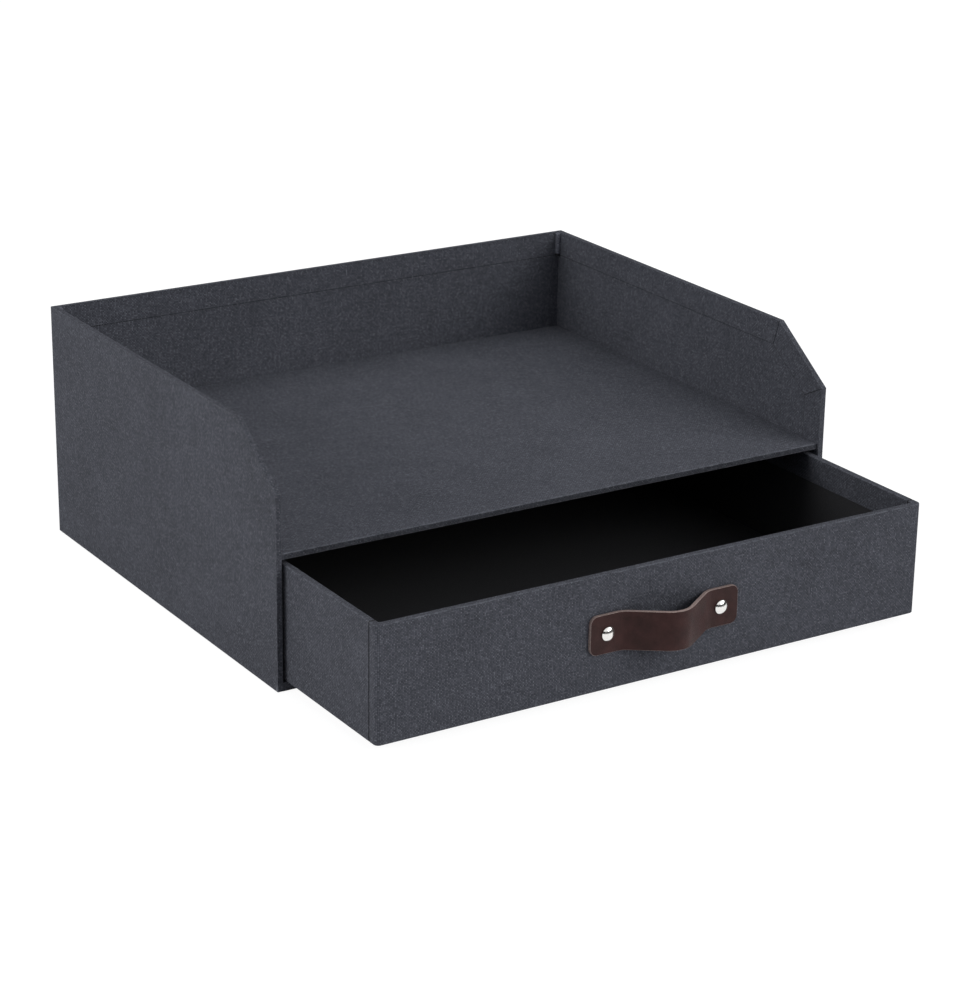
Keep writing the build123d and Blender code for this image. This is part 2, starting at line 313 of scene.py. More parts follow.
def makeWovenThreads(weave):
    # Plain weave: warp and weft pass over each other, and every thread has its own tone and slubs.
    group, source, result = startGroup(
        "wovenThreads",
        [("Flat", "NodeSocketVector", None), ("Pitch", "NodeSocketFloat", 0.0005),
         ("Slub", "NodeSocketFloat", 0.5)],
        [("Height", "NodeSocketFloat"), ("Tone", "NodeSocketFloat"), ("Fleck", "NodeSocketFloat")])
    flat = source.outputs["Flat"]
    wander = offCentre(group, noise(group, flat, weave["wanderScale"], 1.0), weave["wander"])
    u, v, _ = apart(group, flat)
    u = maths(group, "DIVIDE", maths(group, "ADD", u, wander), source.outputs["Pitch"])
    v = maths(group, "DIVIDE", maths(group, "SUBTRACT", v, wander), source.outputs["Pitch"])
    waveU = maths(group, "SINE", maths(group, "MULTIPLY", u, math.pi))
    waveV = maths(group, "SINE", maths(group, "MULTIPLY", v, math.pi))
    warpOver = maths(group, "GREATER_THAN", maths(group, "MULTIPLY", waveU, waveV), 0.0)
    ridgeU, ridgeV = maths(group, "ABSOLUTE", waveU), maths(group, "ABSOLUTE", waveV)
    warp = maths(group, "MULTIPLY", ridgeU, maths(group, "POWER", ridgeV, weave["dive"]))
    weft = maths(group, "MULTIPLY", maths(group, "POWER", ridgeU, weave["dive"]), ridgeV)
    height = choose(group, warpOver, warp, weft)
    # each thread's tone, with thicker and thinner stretches along it
    wholeU, wholeV = maths(group, "FLOOR", u), maths(group, "FLOOR", v)
    slowU, slowV = (maths(group, "MULTIPLY", w, weave["stretchAlong"]) for w in (u, v))
    warpTone = noise(group, together(group, wholeU, slowV), weave["toneScale"], 2.0, 0.7)
    weftTone = noise(group, together(group, slowU, wholeV, weave["weftOffset"]), weave["toneScale"], 2.0, 0.7)
    thread = choose(group, warpOver, warpTone, weftTone)
    chance = group.nodes.new("ShaderNodeTexWhiteNoise")
    connect(group, (together(group, wholeU, wholeV), chance.inputs["Vector"]))
    crossing = offCentre(group, chance.outputs["Value"], weave["crossingShare"])
    lean = offCentre(group, warpOver, weave["leanShare"])
    calm = maths(group, "ADD", offCentre(group, thread, weave["threadShare"]), 0.5)
    tone = maths(group, "ADD", maths(group, "ADD", calm, crossing), lean)
    slub = offCentre(group, tone, source.outputs["Slub"])
    fleck = stretch(group, chance.outputs["Value"], weave["fleckFrom"], 1.0)
    connect(group, (maths(group, "ADD", height, slub), result.inputs["Height"]),
            (tone, result.inputs["Tone"]),
            (maths(group, "MULTIPLY", fleck, ridgeU), result.inputs["Fleck"]))
    return group


hideGrain = {
    "seam": 0.22,            # share of a pebble that slopes down to its neighbours
    "fineScale": 5200.0,
    "fineShare": 0.45,
    "toneScale": 130.0,
}


def makeHide(grain):
    # Leather's pebbled grain with creases, over slow changes of tone.
    group, source, result = startGroup(
        "hide",
        [("Place", "NodeSocketVector", None), ("Grain", "NodeSocketFloat", 1400.0)],
        [("Height", "NodeSocketFloat"), ("Tone", "NodeSocketFloat")])
    cells = group.nodes.new("ShaderNodeTexVoronoi")
    cells.feature = "DISTANCE_TO_EDGE"
    connect(group, (source.outputs["Place"], cells.inputs["Vector"]),
            (source.outputs["Grain"], cells.inputs["Scale"]))
    pebble = stretch(group, cells.outputs["Distance"], 0.0, grain["seam"])
    fine = noise(group, source.outputs["Place"], grain["fineScale"], 3.0, 0.6)
    tone = noise(group, source.outputs["Place"], grain["toneScale"], 4.0, 0.6)
    height = maths(group, "ADD", pebble, maths(group, "MULTIPLY", fine, grain["fineShare"]))
    connect(group, (height, result.inputs["Height"]), (tone, result.inputs["Tone"]))
    return group


wearPatches = {"scale": 260.0, "none": 0.38, "full": 0.68}   # of the noise that breaks up the rubbing


def makeEdgeWear(patches):
    # Rubbing along rounded edges: patchy, and only where the edgeWear attribute is set.
    group, source, result = startGroup(
        "edgeWear",
        [("Place", "NodeSocketVector", None), ("Colour", "NodeSocketColor", (0.5, 0.5, 0.5, 1)),
         ("Worn", "NodeSocketColor", (0.8, 0.8, 0.8, 1)), ("Amount", "NodeSocketFloat", 0.5)],
        [("Colour", "NodeSocketColor")])
    rubbed = group.nodes.new("ShaderNodeAttribute")
    rubbed.attribute_name = "edgeWear"
    broken = noise(group, source.outputs["Place"], patches["scale"], 4.0, 0.65)
    amount = maths(group, "MULTIPLY", stretch(group, broken, patches["none"], patches["full"]),
                   source.outputs["Amount"])
    mask = maths(group, "MULTIPLY", amount, rubbed.outputs["Fac"])
    colour = blendColours(group, mask, source.outputs["Colour"], source.outputs["Worn"])
    connect(group, (colour, result.inputs["Colour"]))
    return group


sheetPlane = makeSheetPlane()
wovenThreads = makeWovenThreads(plainWeave)
hide = makeHide(hideGrain)
edgeWear = makeEdgeWear(wearPatches)
print("shared effects made")


def coordinates(tree):
    node = tree.nodes.new("ShaderNodeTexCoord")
    return node.outputs["Object"], node.outputs["Normal"]


slateCloth = {
    "pitch": 0.00080,
    "dark": (0.059, 0.0615, 0.0735),
    "middle": (0.085, 0.0885, 0.1050),
    "light": (0.123, 0.128, 0.149),
    "fleck": (0.142, 0.147, 0.169),
    "worn": (0.19, 0.198, 0.225),
    "stops": (0.30, 0.52, 0.76),     # of dark, middle and light along the threads' tones
    "slub": 0.6,
    "cloudScale": 28.0,
    "cloud": (0.92, 1.08),
    "gapShade": 0.55,
    "topShade": 1.10,
    "rubbing": 0.5,
    "bump": 0.00010,
    "roughness": 0.88,
    "specular": 0.15,
    "scuffScale": 700.0,
    "scuffCore": 0.3,                # share of a scuff's reach that is fully rubbed
    "scuffing": 0.8,
}
clothPaintedLightAndShade = {"inside": 1.16, "fold": 1.9, "shaded": 0.74}   # shares of the outside's cloth: inside is painted light, brighter for light bounced inside the tray; fold is a painted highlight; shaded is painted shade
footScuffs = [((-0.1625, -0.126, 0.0005), 0.0042),   # place and reach, at the side panels' front feet
              ((0.1625, -0.126, 0.0005), 0.0030)]


def makeCloth(name, cloth, shade=1.0, scuffs=()):
    # Canvas cloth on board: slate threads of uneven tone, with painted shade between them and a painted
    # highlight on their tops, paler where rubbed; a shade other than 1 paints the whole cloth lighter or
    # darker.
    material, tree, shader = startMaterial(name)
    place, facing = coordinates(tree)
    flat = placeGroup(tree, sheetPlane, Place=place, Facing=facing)["Flat"]
    threads = placeGroup(tree, wovenThreads, Flat=flat, Pitch=cloth["pitch"], Slub=cloth["slub"])
    rampNode = tree.nodes.new("ShaderNodeValToRGB")
    stops = rampNode.color_ramp.elements
    stops.new(cloth["stops"][1])
    for element, position, tone in zip(stops, cloth["stops"], ("dark", "middle", "light")):
        element.position = position
        element.color = [c * shade for c in cloth[tone]] + [1]
    tree.links.new(threads["Tone"], rampNode.inputs[0])
    cloudy = stretch(tree, noise(tree, place, cloth["cloudScale"], 3.0, 0.55), 0.3, 0.7, *cloth["cloud"])
    mottled = blendColours(tree, 1.0, rampNode.outputs[0], together(tree, cloudy, cloudy, cloudy), "MULTIPLY")
    flecked = blendColours(tree, threads["Fleck"], mottled, (*[c * shade for c in cloth["fleck"]], 1))
    # painted shade in the gaps between threads and a painted highlight on their tops
    depth = stretch(tree, threads["Height"], 0.0, 1.0, cloth["gapShade"], cloth["topShade"])
    shaded = blendColours(tree, 1.0, flecked, together(tree, depth, depth, depth), "MULTIPLY")
    worn = (*cloth["worn"], 1)
    rubbed = placeGroup(tree, edgeWear, Place=place, Colour=shaded, Worn=worn, Amount=cloth["rubbing"])
    colour = rubbed["Colour"]
    for point, reach in scuffs:
        patchy = stretch(tree, noise(tree, place, cloth["scuffScale"], 3.0, 0.6), 0.40, 0.60)
        away = vector(tree, "LENGTH", vector(tree, "SUBTRACT", place, point))
        nearness = stretch(tree, away, reach * cloth["scuffCore"], reach, cloth["scuffing"], 0.0)
        knocked = maths(tree, "MULTIPLY", nearness, patchy)
        colour = blendColours(tree, knocked, colour, worn)
    tree.links.new(colour, shader.inputs["Base Color"])
    shader.inputs["Roughness"].default_value = cloth["roughness"]
    shader.inputs["Specular IOR Level"].default_value = cloth["specular"]
    tree.links.new(bumpNormal(tree, threads["Height"], cloth["bump"]), shader.inputs["Normal"])
    return material


liningPaper = {
    "colour": (0.020, 0.020, 0.022),
    "fleck": (0.038, 0.038, 0.041),
    "fibreScale": 1500.0,
    "bump": 0.00003,
    "roughness": 0.9,
    "specular": 0.3,
}
# near-black paper for cut edges, and for painted shade in the turn-ins' shadow line and the pleat notches
darkEdgeAndShade = {**liningPaper, "colour": (0.012, 0.012, 0.014)}


def makeLiningPaper(name, paper):
    # Uncoated black paper: a matt felted surface with faint paler fibres.
    material, tree, shader = startMaterial(name)
    place, _ = coordinates(tree)
    fibres = noise(tree, place, paper["fibreScale"], 4.0, 0.7)
    colour = twoTone(tree, fibres, 0.45, 0.8, paper["colour"], paper["fleck"])
    tree.links.new(colour, shader.inputs["Base Color"])
    shader.inputs["Roughness"].default_value = paper["roughness"]
    shader.inputs["Specular IOR Level"].default_value = paper["specular"]
    tree.links.new(bumpNormal(tree, fibres, paper["bump"]), shader.inputs["Normal"])
    return material


greyBoard = {
    "colour": (0.36, 0.34, 0.31),
    "fleck": (0.20, 0.19, 0.18),
    "fibreScale": 900.0,
    "bump": 0.00006,
    "roughness": 0.92,
}


def makeGreyBoard(name, board):
    # Recycled board: warm grey with darker flecks and a pressed, fibrous face.
    material, tree, shader = startMaterial(name)
    place, _ = coordinates(tree)
    fibres = noise(tree, place, board["fibreScale"], 5.0, 0.65)
    colour = twoTone(tree, fibres, 0.42, 0.75, board["colour"], board["fleck"])
    tree.links.new(colour, shader.inputs["Base Color"])
    shader.inputs["Roughness"].default_value = board["roughness"]
    tree.links.new(bumpNormal(tree, fibres, board["bump"]), shader.inputs["Normal"])
    return material


strapLeather = {
    "dark": (0.0235, 0.0080, 0.0070),
    "warm": (0.0465, 0.0172, 0.0154),
    "grain": 1700.0,
    "bump": 0.00004,
    "roughness": (0.55, 0.40),       # between the pebbles and on them
    "specular": 0.18,
    "edgeDark": (0.150, 0.100, 0.090),
    "edgePale": (0.44, 0.34, 0.31),
    "edgeScale": 900.0,
    "edgeBump": 0.00006,
    "edgeRoughness": 0.75,
}


def makeLeather(name, leather):
    # Dark brown leather, waxed, with a small pebbled grain.
    material, tree, shader = startMaterial(name)
    place, _ = coordinates(tree)
    skin = placeGroup(tree, hide, Place=place, Grain=leather["grain"])
    colour = twoTone(tree, skin["Tone"], 0.3, 0.7, leather["dark"], leather["warm"])
    tree.links.new(colour, shader.inputs["Base Color"])
    tree.links.new(stretch(tree, skin["Height"], 0.0, 1.4, *leather["roughness"]), shader.inputs["Roughness"])
    shader.inputs["Specular IOR Level"].default_value = leather["specular"]
    tree.links.new(bumpNormal(tree, skin["Height"], leather["bump"]), shader.inputs["Normal"])
    return material


def makeLeatherEdge(name, leather):
    # The strap's raw cut edge: paler fibres in layers.
    material, tree, shader = startMaterial(name)
    place, _ = coordinates(tree)
    layers = noise(tree, vector(tree, "MULTIPLY", place, (1.0, 3.0, 1.0)), leather["edgeScale"], 4.0, 0.7)
    colour = twoTone(tree, layers, 0.35, 0.7, leather["edgeDark"], leather["edgePale"])
    tree.links.new(colour, shader.inputs["Base Color"])
    shader.inputs["Roughness"].default_value = leather["edgeRoughness"]
    tree.links.new(bumpNormal(tree, layers, leather["edgeBump"]), shader.inputs["Normal"])
    return material


nickel = {
    "colour": (0.80, 0.785, 0.76),
    "roughness": 0.17,
    "rubScale": 1600.0,
    "rubbed": (0.7, 1.6),            # times the roughness, from clean plate to rubbed
}


def makeNickel(name, metal):
    # Bright nickel plate with fine rubbing marks.
    material, tree, shader = startMaterial(name)
    place, _ = coordinates(tree)
    rubbing = noise(tree, place, metal["rubScale"], 3.0, 0.6)
    clean, rubbed = (metal["roughness"] * share for share in metal["rubbed"])
    shader.inputs["Base Color"].default_value = (*metal["colour"], 1)
    shader.inputs["Metallic"].default_value = 1.0
    tree.links.new(stretch(tree, rubbing, 0.3, 0.8, clean, rubbed), shader.inputs["Roughness"])
    return material


clothOutside = makeCloth("clothOutside", slateCloth, scuffs=footScuffs)
# a lighter copy of the cloth: painted light for light bounced inside the tray
clothInsidePaintedLight = makeCloth("clothInsidePaintedLight", slateCloth, clothPaintedLightAndShade["inside"])
# a much paler copy of the cloth: a painted highlight on the corner pleats
clothFoldPaintedHighlight = makeCloth("clothFoldPaintedHighlight", slateCloth, clothPaintedLightAndShade["fold"])
# a darker copy of the cloth: painted shade on the shelf's front edge
clothShaded = makeCloth("clothShaded", slateCloth, clothPaintedLightAndShade["shaded"])
# near black: cut edges, and painted shade lines and hollows
clothEdgeAndShade = makeLiningPaper("clothEdgeAndShade", darkEdgeAndShade)
blackPaper = makeLiningPaper("blackPaper", liningPaper)
boardGrey = makeGreyBoard("boardGrey", greyBoard)
leatherFace = makeLeather("leatherFace", strapLeather)
leatherEdge = makeLeatherEdge("leatherEdge", strapLeather)
nickelPlate = makeNickel("nickelPlate", nickel)
print("materials made")


wrapSheet = {
    "cloth": 0.00025,
    "wall": 0.0030,          # over board, lining and both layers of cloth
    "cornerRun": 0.038,      # sloped front corner, back along the rim
    "cornerDrop": 0.027,     # and down the front edge
    "turnIn": 0.014,
    "turnUnder": 0.015,
    "edgeRound": 0.00045,
    "backRound": 0.00115,    # outer upright back corners
    "innerRound": 0.0016,    # cloth bridging the inner upright corners
    "edgeShadowLine": 0.00024,      # painted shadow line along the turn-ins' cut edges
    "mitre": 0.00020,        # groove where two turn-ins meet
    "mitreDepth": 0.00018,
    "margin": 0.001,         # nearer a cut edge than this is part of its rounding
}


def buildHousingWrap(sheet):
    # One sheet round three walls: a U-shaped slab, rounded, then opened where board or lining shows.
    low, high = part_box("housing_wrap")
    wall, turnIn = sheet["wall"], sheet["turnIn"]
    bm = startMesh()
    outline = [(low.x, low.y), (low.x, high.y), (high.x, high.y), (high.x, low.y),
               (high.x - wall, low.y), (high.x - wall, high.y - wall),
               (low.x + wall, high.y - wall), (low.x + wall, low.y)]
    floor = bm.faces.new([bm.verts.new((x, y, low.z)) for x, y in outline])
    raised = bmesh.ops.extrude_face_region(bm, geom=[floor])["geom"]
    shift(bm, raised, up * (high.z - low.z))

    # sloped front corners
    slopeStart = Vector((0, low.y, high.z - sheet["cornerDrop"]))
    slopeNormal = Vector((0, -sheet["cornerDrop"], sheet["cornerRun"])).normalized()
    bmesh.ops.holes_fill(bm, edges=cutWhole(bm, slopeStart, slopeNormal, True), sides=0)
    bmesh.ops.recalc_face_normals(bm, faces=bm.faces[:])

    def upright(edge, x, y):
        return all(abs(abs(v.co.x) - x) < same and abs(v.co.y - y) < same for v in edge.verts)

    roundEdges(bm, [e for e in bm.edges if upright(e, high.x, high.y)], sheet["backRound"], 5, 0.0)
    inner = [e for e in bm.edges if upright(e, high.x - wall, high.y - wall)]
    roundEdges(bm, inner, sheet["innerRound"], 5, 0.0)
    roundEdges(bm, sharpEdges(bm), sheet["edgeRound"], 3)

    # beneath: keep the outer rounding and carry it in as the folded-under band
    dropFaces(bm, [f for f in bm.faces if f.normal.z < -headOn and f.calc_center_median().z < low.z + same])
    margin = sheet["margin"]
    rimBelow = [e for e in bm.edges if len(e.link_faces) == 1
                and all(v.co.z < low.z + same for v in e.verts)
                and (max(abs(v.co.x) for v in e.verts) > high.x - margin
                     or max(v.co.y for v in e.verts) > high.y - margin)
                and min(v.co.y for v in e.verts) > low.y + same
                and not all(v.co.y < low.y + sheet["edgeRound"] * 1.5 for v in e.verts)]
    carried = bmesh.ops.extrude_edge_only(bm, edges=rimBelow)["geom"]
    under = sheet["turnUnder"]
    for v in [g for g in carried if isinstance(g, bmesh.types.BMVert)]:
        v.co.x = max(-(high.x - under), min(high.x - under, v.co.x))
        v.co.y = min(v.co.y, high.y - under)

    # inside: the folded cloth ends a little way below each cut edge
    def innerFace(face):
        c = face.calc_center_median()
        inX = abs(abs(c.x) - (high.x - wall)) < sheet["innerRound"] and face.normal.x * c.x < -1e-9
        inY = abs(c.y - (high.y - wall)) < sheet["innerRound"] and face.normal.y < -weld
        inside = abs(c.x) < high.x - wall / 2 and low.y + margin < c.y and low.z < c.z < high.z - margin
        return (inX or inY) and inside and abs(face.normal.z) < 0.5

    cuts = [(Vector((0, 0, high.z - turnIn)), up),
            (slopeStart - slopeNormal * turnIn, slopeNormal),
            (Vector((0, low.y + turnIn, 0)), -back)]
    for place, normal in cuts:
        cutAcross(bm, [f for f in bm.faces if innerFace(f)], place, normal)
    hidden = [f for f in bm.faces if innerFace(f)
              and all((f.calc_center_median() - place).dot(normal) < 0 for place, normal in cuts)]
    dropFaces(bm, hidden)
    # a thin strip along each turn-in's cut edge is cut off and painted near-black, a painted shadow line
    for place, normal in cuts:
        cutAcross(bm, [f for f in bm.faces if innerFace(f)], place + normal * sheet["edgeShadowLine"], normal)
    # past that strip the turn-ins take the lighter inside cloth, painted light for light bounced inside the
    # tray
    for face in [f for f in bm.faces if innerFace(f)]:
        reach = max((face.calc_center_median() - place).dot(normal) for place, normal in cuts)
        face.material_index = edgeAndShadeSlot if reach < sheet["edgeShadowLine"] else secondSlot
    bmesh.ops.remove_doubles(bm, verts=bm.verts[:], dist=weld)

    # mitres, from each corner of the cut profile inwards
    corners = [(Vector((0, low.y + sheet["cornerRun"], high.z)), (up - slopeNormal).normalized()),
               (slopeStart, (slopeNormal + back).normalized())]
    for place, normal in corners:
        cutAcross(bm, [f for f in bm.faces if innerFace(f) and abs(f.normal.x) > headOn], place, normal)
        mitres = [e for e in bm.edges if len(e.link_faces) == 2 and e.calc_length() > 2 * margin
                  and all(abs((v.co - place).dot(normal)) < same and abs(abs(v.co.x) - (high.x - wall)) < same
                          for v in e.verts)]
        for v in bevel(bm, mitres, sheet["mitre"], 2, slot=edgeAndShadeSlot)["verts"]:
            if abs((v.co - place).dot(normal)) < same:
                v.co.x += math.copysign(sheet["mitreDepth"], v.co.x)
    piece = newObject("housingWrap", bm, [clothOutside, clothEdgeAndShade, clothInsidePaintedLight])
    return smoothBy(finishSheet(piece, sheet["cloth"]))


housingWrap = buildHousingWrap(wrapSheet)
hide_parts("housing_wrap")
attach(housingWrap, "housing")
print("housing wrap made:", len(housingWrap.data.polygons), "faces")


pleat = {
    "radius": 0.0019,
    "taper": 0.85,           # the foot's radius, as a share
    "sink": 0.0007,          # its axis stands this far out of the corner
    "below": 0.0004,         # the rim
    "height": 0.0128,
    "endRound": 0.45,
    "notch": 0.0014,         # its open end, in shade
    "notchRadii": (0.55, 0.75),
}


def buildCornerPleats(fold):
    # Where the turn-ins of two walls meet, the spare cloth stands in the corner as a small round pleat.
    low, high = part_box("housing_wrap")
    radius, height, notch = fold["radius"], fold["height"], fold["notch"]
    inset = wrapSheet["wall"] + fold["sink"]
    bm = startMesh()

    def addCone(top, bottom, wide, depth, middle, segments):
        return bmesh.ops.create_cone(bm, cap_ends=True, segments=segments, radius1=bottom, radius2=wide,
                                     depth=depth, matrix=Matrix.Translation(top - up * middle))["verts"]

    for side in (-1, 1):
        top = Vector((side * (high.x - inset), high.y - inset, high.z - fold["below"]))
        bead = addCone(top, radius * fold["taper"], radius, height, height / 2, 20)
        ends = {e for v in bead for e in v.link_edges if isLevel(e)}
        roundEdges(bm, ends, radius * fold["endRound"], 3, 0.0)
        narrow, wide = (radius * share for share in fold["notchRadii"])
        end = addCone(top, narrow, wide, notch, height + notch * 0.4, 16)
        # the notch is painted near-black: painted shade in its open end
        for face in {f for v in end for f in v.link_faces}:
            face.material_index = edgeAndShadeSlot
    # the pleats' cloth is a much paler copy, a painted highlight
    piece = newObject("cornerPleats", bm, [clothFoldPaintedHighlight, clothEdgeAndShade])
    return smoothBy(piece)


cornerPleats = buildCornerPleats(pleat)
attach(cornerPleats, "housing")
print("corner pleats made")


shelfSheet = {"cloth": 0.00025, "fold": 0.018, "edgeRound": 0.0006}


def buildShelfCover(sheet):
    # Cloth over the shelf, down its front edge and back beneath.
    low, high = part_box("shelf_cover")
    bm = startBox(low, high)
    front = [e for e in bm.edges if isLevel(e) and all(abs(v.co.y - low.y) < weld for v in e.verts)]
    roundEdges(bm, front, sheet["edgeRound"], 4)
    dropFaces(bm, [f for f in bm.faces if abs(f.normal.x) > headOn or f.normal.y > headOn])
    beneath = [f for f in bm.faces if f.normal.z < -headOn]
    for face in cutAcross(bm, beneath, Vector((0, low.y + sheet["fold"], 0)), back):
        if face.is_valid and face.calc_center_median().y > low.y + sheet["fold"]:
            dropFaces(bm, [face])
    # the front face takes the darker cloth, painted shade; the rest takes the lighter inside cloth, painted
    # light
    for face in bm.faces:
        if face.normal.y < -headOn:
            face.material_index = secondSlot
    piece = newObject("shelfCover", bm, [clothInsidePaintedLight, clothEdgeAndShade, clothShaded])
    return smoothBy(finishSheet(piece, sheet["cloth"]))


shelfCover = buildShelfCover(shelfSheet)
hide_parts("shelf_cover")
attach(shelfCover, "housing")
print("shelf cover made")


drawerSheet = {
    "cloth": 0.00025,
    "wall": 0.0035,
    "turnIn": 0.014,
    "turnUnder": 0.015,
    "seam": 0.006,           # behind the drawer's front
    "seamWidth": 0.00085,
    "seamDepth": 0.00016,
    "seamBank": 0.00002,     # its sides lean in by this
    "tongue": 0.6,           # the front sheet's band beneath ends this share of a fold from the sides
    "margin": 0.001,
    "cornerRound": 0.00265,
    "innerRound": 0.0008,
    "edgeRound": 0.0005,
}


def buildDrawerCloth(name, sheet, isFront):
    # Cloth round the drawer's walls, over the rim and under the floor, as the front or the rear sheet.
    low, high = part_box("drawer_front_cloth")
    high = Vector((high.x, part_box("drawer_wrap")[1].y, high.z))
    bm = startBox(low, high)
    top = [f for f in bm.faces if f.normal.z > headOn]
    bmesh.ops.inset_region(bm, faces=top, thickness=sheet["wall"], use_even_offset=True)
    shift(bm, bmesh.ops.extrude_face_region(bm, geom=top)["geom"], -up * sheet["turnIn"])
    dropFaces(bm, [f for f in bm.faces if f in top
                   or (f.normal.z > headOn and f.calc_center_median().z < high.z - sheet["margin"])])
    bottom = [f for f in bm.faces if f.normal.z < -headOn]
    bmesh.ops.inset_region(bm, faces=bottom, thickness=sheet["turnUnder"], use_even_offset=True)
    dropFaces(bm, bottom)
    bmesh.ops.recalc_face_normals(bm, faces=bm.faces[:])

    def upright(edge, x, insetY):
        a, b = edge.verts
        return abs(a.co.z - b.co.z) > sheet["margin"] and abs(abs(a.co.x) - x) < same and (
            abs(a.co.y - (low.y + insetY)) < same or abs(a.co.y - (high.y - insetY)) < same)

    roundEdges(bm, [e for e in bm.edges if upright(e, high.x, 0)], sheet["cornerRound"], 6, 0.0)
    inner = [e for e in bm.edges if upright(e, high.x - sheet["wall"], sheet["wall"])]
    roundEdges(bm, inner, sheet["innerRound"], 3, 0.0)
    roundEdges(bm, [e for e in sharpEdges(bm) if isLevel(e)], sheet["edgeRound"], 3)

    # the two sheets part at the seam; beneath, round the front sheet's tongue
    seamY = low.y + sheet["seam"]
    for place in (seamY, seamY + sheet["seamWidth"]):
        walls = [f for f in bm.faces if f.calc_center_median().z > low.z + weld]
        cutAcross(bm, walls, Vector((0, place, 0)), back)

    def belongsToFront(face):
        c = face.calc_center_median()
        if c.z > low.z + weld:
            return c.y < seamY
        return abs(c.x) < high.x - sheet["turnUnder"] * sheet["tongue"] and c.y < low.y + sheet["turnUnder"]

    dropFaces(bm, [f for f in bm.faces if belongsToFront(f) != isFront])
    if not isFront:
        strip = [f for f in bm.faces if seamY < f.calc_center_median().y < seamY + sheet["seamWidth"]]
        for face in strip:
            face.material_index = edgeAndShadeSlot
        bmesh.ops.inset_region(bm, faces=strip, thickness=sheet["seamBank"], depth=-sheet["seamDepth"],
                               use_boundary=True, use_even_offset=True)
    piece = newObject(name, bm, [clothOutside, clothEdgeAndShade])
    return smoothBy(finishSheet(piece, sheet["cloth"]))


for name, node, isFront in (("drawerFrontCloth", "drawer_front_cloth", True),
                            ("drawerWrap", "drawer_wrap", False)):
    sheet = buildDrawerCloth(name, drawerSheet, isFront)
    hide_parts(node)
    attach(sheet, "drawer")
    print(name, "made:", len(sheet.data.polygons), "faces")


strap = {
    "gauge": 0.002,
    "bendRadius": 0.011,      # of the inner face at the crown
    "bowHalfSpan": 0.028,
    "cornerRound": 0.004,
    "edgeRound": 0.00045,
    "edgeFacing": 0.85,       # a face that looks less than this to the front or back is cut edge
    "slice": 0.0012,          # spacing of the cuts that let the strap bend
    "arch": 0.0005,           # the bow is drawn in a little along its edges
    "press": 0.0003,          # leather squeezed under the rivet heads
    "pressReach": 0.0065,
    "rivetSpacing": 0.066,
}


def buildStrap(leather):
    # The strap is cut flat, with its edges rounded, then bent into its bow.
    low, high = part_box("handle_strap")
    seat, gauge, radius, span = high.y, leather["gauge"], leather["bendRadius"], leather["bowHalfSpan"]
    bow = (high.y - low.y) - gauge
    overlap = 2 * radius - bow
    slope = math.asin(2 * radius / math.hypot(span, overlap)) - math.atan2(overlap, span)
    crownEnd = slope * (radius + gauge / 2)
    flankEnd = crownEnd + (span - 2 * radius * math.sin(slope)) / math.cos(slope)
    footEnd = flankEnd + slope * (radius - gauge / 2)
    halfLength = high.x - span + footEnd
    halfWidth, middle = (high.z - low.z) / 2, (high.z + low.z) / 2

    # flat: X is the length along the strap, Y the thickness, Z the width
    bm = startMesh()
    corners = [(-halfLength, -halfWidth), (halfLength, -halfWidth),
               (halfLength, halfWidth), (-halfLength, halfWidth)]
    bm.faces.new([bm.verts.new((x, 0, z)) for x, z in corners])
    bevel(bm, bm.verts[:], leather["cornerRound"], 7, affect="VERTICES")
    shift(bm, bmesh.ops.extrude_face_region(bm, geom=bm.faces[:])["geom"], -back * gauge)
    bmesh.ops.recalc_face_normals(bm, faces=bm.faces[:])
    roundEdges(bm, sharpEdges(bm, math.radians(60)), leather["edgeRound"], 3)
    for face in bm.faces:
        face.material_index = edgeAndShadeSlot if abs(face.normal.y) < leather["edgeFacing"] else 0
    steps = int(halfLength / leather["slice"])
    slices = [(across * (i * leather["slice"]), across) for i in range(-steps, steps + 1)]
    slices += [(up * (i / 4 * halfWidth), up) for i in range(-3, 4)]
    for place, normal in slices:
        cutWhole(bm, place, normal)

    # bent: crown, straight flank, foot, and flat end under the rivet
    for v in bm.verts:
        run, out, side = abs(v.co.x), -v.co.y, v.co.z
        if run <= crownEnd:
            turn = run / (radius + gauge / 2)
            x = (radius + out) * math.sin(turn)
            y = seat - bow + radius - (radius + out) * math.cos(turn)
        elif run <= flankEnd:
            x = (radius + out) * math.sin(slope) + (run - crownEnd) * math.cos(slope)
            y = seat - bow + radius - (radius + out) * math.cos(slope) + (run - crownEnd) * math.sin(slope)
        elif run <= footEnd:
            turn = slope - (run - flankEnd) / (radius - gauge / 2)
            x = span - (radius - out) * math.sin(turn)
            y = seat - radius + (radius - out) * math.cos(turn)
        else:
            x = span + run - footEnd
            y = seat - out
        lift = max(0.0, (seat - y - out) / bow)
        y += leather["arch"] * lift * (side / halfWidth) ** 2
        fromRivet = math.hypot(x - leather["rivetSpacing"] / 2, side)
        if fromRivet < leather["pressReach"] and out > gauge / 2:
            y += leather["press"] * (1 - (fromRivet / leather["pressReach"]) ** 2)
        v.co = Vector((math.copysign(x, v.co.x), y, middle + side))
    bmesh.ops.recalc_face_normals(bm, faces=bm.faces[:])
    piece = newObject("handleStrap", bm, [leatherFace, leatherEdge])
    return smoothBy(piece, math.radians(50))


handleStrap = buildStrap(strap)
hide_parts("handle_strap")
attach(handleStrap, "drawer")
print("handle strap made:", len(handleStrap.data.polygons), "faces")


rivet = {
    "headRadius": 0.0036,
    "dome": 0.0020,
    "lip": 0.00035,
    "post": 0.0015,
    "backRadius": 0.0040,
    "backGauge": 0.0016,
    "bevelled": 0.0001,
    "rings": 18,
    "steps": 40,
}


